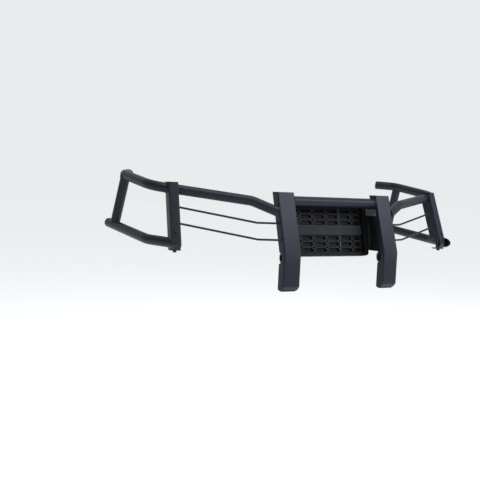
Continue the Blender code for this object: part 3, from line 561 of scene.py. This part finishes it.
# ---- softened sheet-metal and small pieces ---------------------------------
for node in sorted(NODES):
    if node.startswith(("upright_", "outer_upright_", "grille_bezel", "corner_bracket",
                        "clamp_strap", "clamp_plate", "grille_bracket_l", "grille_bracket_r",
                        "corner_bottom_plate", "foot_plate")) and "bolt" not in node:
        softened(node, finish_of(node))


# ---- posts, coped on both tubes --------------------------------------------
def coped_post(name, node, head, foot, head_axis, foot_axis):
    """A tube whose ends follow the round of the tubes it joins."""
    down = (foot - head).normalized()
    across = down.cross(Vector((0, 0, 1)) if abs(down.z) < 0.9 else Vector((1, 0, 0))).normalized()
    over = across.cross(down).normalized()
    sides, reach = 64, TUBE + AIR

    def meet(start, way, base, axis):
        flat = start - base
        flat -= axis * flat.dot(axis)
        slope = way - axis * way.dot(axis)
        a, b, c = slope.dot(slope), 2 * flat.dot(slope), flat.dot(flat) - reach ** 2
        return start + way * ((-b - max(b * b - 4 * a * c, 0.0) ** 0.5) / (2 * a))

    bm = bmesh.new()
    skins = []
    for radius in (TUBE, TUBE - WALL):
        tops, lows = [], []
        for i in range(sides):
            t = 2 * pi * i / sides
            start = (head + foot) / 2 + (across * cos(t) + over * sin(t)) * radius
            tops.append(bm.verts.new(meet(start, -down, head, head_axis)))
            lows.append(bm.verts.new(meet(start, down, foot, foot_axis)))
        skins.append((tops, lows))
    (outer_top, outer_low), (inner_top, inner_low) = skins
    bridge(bm, outer_top, outer_low)
    bridge(bm, inner_low, inner_top)
    bridge(bm, inner_top, outer_top)
    bridge(bm, outer_low, inner_low)
    bmesh.ops.recalc_face_normals(bm, faces=bm.faces)
    obj = piece(name, bm, POWDER)
    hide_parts(node)


for word, side in SIDES:
    top_corners = [Vector((side * x, y, z)) for x, y, z in TOP_PATH]
    low_corners = [Vector((side * x, y, z)) for x, y, z in LOWER_PATH]
    top_axis = (top_corners[3] - top_corners[2]).normalized()
    low_axis = (low_corners[-1] - low_corners[-2]).normalized()
    coped_post(f"rear_post_{word}_skin", f"rear_post_{word}", top_corners[3] - top_axis * POST_HEAD,
               low_corners[-1] - low_axis * POST_FOOT, top_axis, low_axis)

# ---- grille ----------------------------------------------------------------
GRILLE_Y, GRILLE_Z = 0.0425, 0.003  # the foot of the insert's plane
LEAN = radians(11.0)
GRILLE = Matrix.Translation((0, GRILLE_Y, GRILLE_Z)) @ Matrix.Rotation(-LEAN, 4, "X")
PANELS = {"lower": (0.0128, 0.0857), "upper": (0.1243, 0.1962)}
ROWS = 3
HALF = 0.1767                      # half the mesh's width
CELL_PITCH = 0.0655
MESH_FACE = 0.019
CELL_SIDE, CELL_GAP, CELL_TIP = 0.0030, 0.0055, 0.0095
RIM_SIDE, RIM_RISE, RIM_TIP = 0.0016, 0.0011, 0.0098
RIM_FRONT, RIM_BACK = MESH_FACE - 0.0012, MESH_FACE - 0.0002
INNER_BAR_PLACE, INNER_BAR_INSET, INNER_BAR_HALF = 0.26, 0.0078, 0.0006
INNER_BAR_FRONT, INNER_BAR_BACK = MESH_FACE + 0.0034, MESH_FACE + 0.0058
BEAD_STEPS, BEAD_HALF = 14, 0.0008
BEAD_FRONT, BEAD_BACK = MESH_FACE - 0.0026, MESH_FACE - 0.0013
# Height, inset and depth of the painted highlight strip on the centre bar
LINE_LOW, LINE_HIGH, LINE_INSET = 0.1217, 0.1232, 0.001
LINE_FRONT, LINE_BACK = 0.0108, 0.0119
# Outline and depth of the black sheets that stand in for the shade behind the brackets (painted shade)
SHADE_SHEET_OUTLINE = [(0.0790, 0.1500), (0.1530, 0.1500), (0.1530, 0.2150), (0.0975, 0.2150)]
SHADE_SHEET_NEAR, SHADE_SHEET_FAR = 0.0315, 0.0300
LIP_X, LIP_LOW, LIP_HIGH, LIP_STEPS = 0.1990, 0.026, 0.1640, 24
LIP_BOW, LIP_HALF, LIP_DEPTH, LIP_FORWARD = 0.010, 0.0012, 0.0026, 0.004


def prism(bm, place, loop, front, back, hole=None):
    """A flat outline in the grille's plane, from one depth to another."""
    loops = []
    for points in (loop, hole):
        if points:
            loops.append([[bm.verts.new(place @ Vector((x, y, z))) for x, z in points]
                          for y in (front, back)])
    (outer_front, outer_back) = loops[0]
    bridge(bm, outer_front, outer_back)
    if hole:
        inner_front, inner_back = loops[1]
        bridge(bm, inner_back, inner_front)
        bridge(bm, inner_front, outer_front)
        bridge(bm, outer_back, inner_back)
    else:
        bm.faces.new(outer_front[::-1])
        bm.faces.new(outer_back)


def hexagon(left, right, cz, rise, tip):
    return [(right, cz), (right - tip, cz + rise), (left + tip, cz + rise),
            (left, cz), (left + tip, cz - rise), (right - tip, cz - rise)]


def outward(bm):
    bmesh.ops.recalc_face_normals(bm, faces=bm.faces)
    return bm


def cells(level, bottom, top):
    """The raised rims of one panel's cells, coloured lighter than the mesh as a painted highlight, and the
    two thin bars across each.
    """
    edges = [max(-HALF, min(HALF, n * CELL_PITCH)) for n in range(-3, 4)]
    rims, bars = bmesh.new(), bmesh.new()
    rise = (top - bottom) / ROWS
    for row in range(ROWS):
        middle = bottom + (row + 0.5) * rise
        for left, right in zip(edges, edges[1:]):
            a, b, half_up = left + CELL_SIDE, right - CELL_SIDE, (rise - CELL_GAP) / 2
            prism(rims, GRILLE, hexagon(a - RIM_SIDE, b + RIM_SIDE, middle, half_up + RIM_RISE, RIM_TIP),
                  RIM_FRONT, RIM_BACK, hexagon(a, b, middle, half_up, CELL_TIP))
            for part in (-INNER_BAR_PLACE, INNER_BAR_PLACE):
                lift = middle + part * rise
                prism(bars, GRILLE, rectangle(a + INNER_BAR_INSET, b - INNER_BAR_INSET,
                                              lift - INNER_BAR_HALF, lift + INNER_BAR_HALF),
                      INNER_BAR_FRONT, INNER_BAR_BACK)
    piece(f"grille_{level}_cell_rims", outward(rims), RIM_PAINTED_HIGHLIGHT, 20)
    piece(f"grille_{level}_inner_bars", outward(bars), MESH, 20)


def rectangle(left, right, low, high):
    return [(left, low), (right, low), (right, high), (left, high)]


def bright_bead():
    """The dashed pale line down one of the mesh's ribs."""
    bead = bmesh.new()
    for bottom, top in PANELS.values():
        for n in range(BEAD_STEPS):
            low = bottom + (top - bottom) * (n + 0.12) / BEAD_STEPS
            high = bottom + (top - bottom) * (n + 0.88) / BEAD_STEPS
            prism(bead, GRILLE, rectangle(CELL_PITCH - BEAD_HALF, CELL_PITCH + BEAD_HALF, low, high),
                  BEAD_FRONT, BEAD_BACK)
    piece("grille_bright_bead", outward(bead), PALE, 20)


def bar_highlight():
    """A painted highlight: a pale strip along the centre bar."""
    line = bmesh.new()
    prism(line, GRILLE, rectangle(-HALF + LINE_INSET, HALF - LINE_INSET, LINE_LOW, LINE_HIGH),
          LINE_FRONT, LINE_BACK)
    piece("grille_bar_highlight", outward(line), BAR_PAINTED_HIGHLIGHT, 20)


def painted_shade_sheet(word, side):
    """A black sheet across the slot behind a bracket, standing in for the shade there (painted shade)."""
    place = inner_frame(side)
    sheet = bmesh.new()
    near, far = [[sheet.verts.new(place @ Vector((x, y, z))) for y, z in SHADE_SHEET_OUTLINE]
                 for x in (-side * SHADE_SHEET_NEAR, -side * SHADE_SHEET_FAR)]
    bridge(sheet, near, far)
    sheet.faces.new(near[::-1])
    sheet.faces.new(far)
    piece(f"painted_shade_sheet_{word}", outward(sheet), BLACK_AND_SHADE, 20)


def curved_lip(word, side):
    """The lip beside the bezel, bowed forward at its middle, coloured lighter than the bezel as a painted
    highlight along its edge.
    """
    lip = bmesh.new()
    rows = []
    for n in range(LIP_STEPS + 1):
        z = LIP_LOW + (LIP_HIGH - LIP_LOW) * n / LIP_STEPS
        bow = LIP_BOW * sin(pi * n / LIP_STEPS)
        y = GRILLE_Y + (z - GRILLE_Z) * tan(LEAN) - LIP_FORWARD - bow
        x = side * LIP_X
        rows.append([lip.verts.new((x + dx, y + dy, z)) for dx, dy in
                     ((-LIP_HALF, 0.0), (LIP_HALF, 0.0), (LIP_HALF, LIP_DEPTH + bow),
                      (-LIP_HALF, LIP_DEPTH + bow))])
    for a, b in zip(rows, rows[1:]):
        bridge(lip, a, b)
    lip.faces.new(rows[0][::-1])
    lip.faces.new(rows[-1])
    piece(f"grille_curved_lip_{word}", outward(lip), LIP_PAINTED_HIGHLIGHT, 30)


for level, (bottom, top) in PANELS.items():
    cells(level, bottom, top)
bright_bead()
bar_highlight()
for word, side in SIDES:
    painted_shade_sheet(word, side)
    curved_lip(word, side)

# ---- floor, light and camera -----------------------------------------------
FLOOR = -0.62
FLOOR_GLOW = 0.46


def pale_floor():
    bm = bmesh.new()
    bmesh.ops.create_grid(bm, x_segments=1, y_segments=1, size=40.0)
    bmesh.ops.translate(bm, vec=(0, 0, FLOOR), verts=bm.verts)
    mesh = bpy.data.meshes.new("floor")
    bm.to_mesh(mesh)
    bm.free()
    floor = bpy.data.objects.new("floor", mesh)
    bpy.context.scene.collection.objects.link(floor)
    ground = bpy.data.materials.new("pale_floor")
    ground.use_nodes = True
    paint = ground.node_tree.nodes["Principled BSDF"].inputs
    paint["Base Color"].default_value = (0.74, 0.75, 0.76, 1)
    paint["Roughness"].default_value = 1.0
    paint["Specular IOR Level"].default_value = 0.0
    paint["Emission Color"].default_value = (0.97, 0.985, 1.0, 1)
    paint["Emission Strength"].default_value = FLOOR_GLOW
    mesh.materials.append(ground)


def studio_world():
    """A light backdrop on one side of the guard and a dimmer room on the other."""
    world = bpy.data.worlds.new("studio")
    bpy.context.scene.world = world
    world.use_nodes = True
    nodes, links = world.node_tree.nodes, world.node_tree.links
    place = nodes.new("ShaderNodeTexCoord").outputs["Generated"]

    def along(direction, start, end, low, high):
        dot = nodes.new("ShaderNodeVectorMath")
        dot.operation = "DOT_PRODUCT"
        dot.inputs[1].default_value = direction
        links.new(place, dot.inputs[0])
        spread = nodes.new("ShaderNodeMapRange")
        spread.interpolation_type = "SMOOTHSTEP"
        for name, value in (("From Min", start), ("From Max", end), ("To Min", low), ("To Max", high)):
            spread.inputs[name].default_value = value
        links.new(dot.outputs["Value"], spread.inputs["Value"])
        return spread.outputs["Result"]

    backdrop = along((0.52, 0.854, 0.0), 0.15, 0.75, 0.26, 0.85)
    sky = along((0.0, 0.0, 1.0), 0.25, 0.9, 0.0, 0.60)
    brighter = nodes.new("ShaderNodeMath")
    brighter.operation = "MAXIMUM"
    links.new(backdrop, brighter.inputs[0])
    links.new(sky, brighter.inputs[1])
    background = nodes["Background"]
    background.inputs["Color"].default_value = (0.96, 0.98, 1.0, 1)
    links.new(brighter.outputs[0], background.inputs["Strength"])


def area_light(name, place, target, size, power, colour=(1, 1, 1)):
    data = bpy.data.lights.new(name, "AREA")
    data.shape = "RECTANGLE"
    data.size, data.size_y = size
    data.energy = power
    data.color = colour
    light = bpy.data.objects.new(name, data)
    bpy.context.scene.collection.objects.link(light)
    light.location = place
    light.rotation_euler = (Vector(target) - Vector(place)).to_track_quat("-Z", "Y").to_euler()


YAW, TILT, ROLL = radians(31.174), radians(3.404), radians(2.115)
CAMERA_PLACE = Vector((-2.0110, -2.5718, 0.2479))
LENS, SENSOR = 61.4, 36.0


def aim_camera():
    forward = Vector((sin(YAW) * cos(TILT), cos(YAW) * cos(TILT), -sin(TILT)))
    level = Vector((cos(YAW), -sin(YAW), 0))
    above = level.cross(forward)
    right = cos(ROLL) * level + sin(ROLL) * above
    up = -sin(ROLL) * level + cos(ROLL) * above
    lens = bpy.data.cameras.new("camera")
    lens.lens = LENS
    lens.sensor_width = SENSOR
    lens.clip_start = 0.05
    camera = bpy.data.objects.new("camera", lens)
    bpy.context.scene.collection.objects.link(camera)
    look = Matrix((right, up, -forward)).transposed().to_4x4()
    look.translation = CAMERA_PLACE
    camera.matrix_world = look
    bpy.context.scene.camera = camera


pale_floor()
studio_world()
area_light("overhead", (0.0, -0.9, 3.0), (0, 0.2, 0.1), (3.0, 2.0), 70)
area_light("web_softbox", (2.05, -2.55, 1.75), (0, 0.05, 0.1), (1.9, 1.0), 78, (0.86, 0.92, 1.0))
aim_camera()
bpy.context.scene.view_settings.view_transform = "Standard"
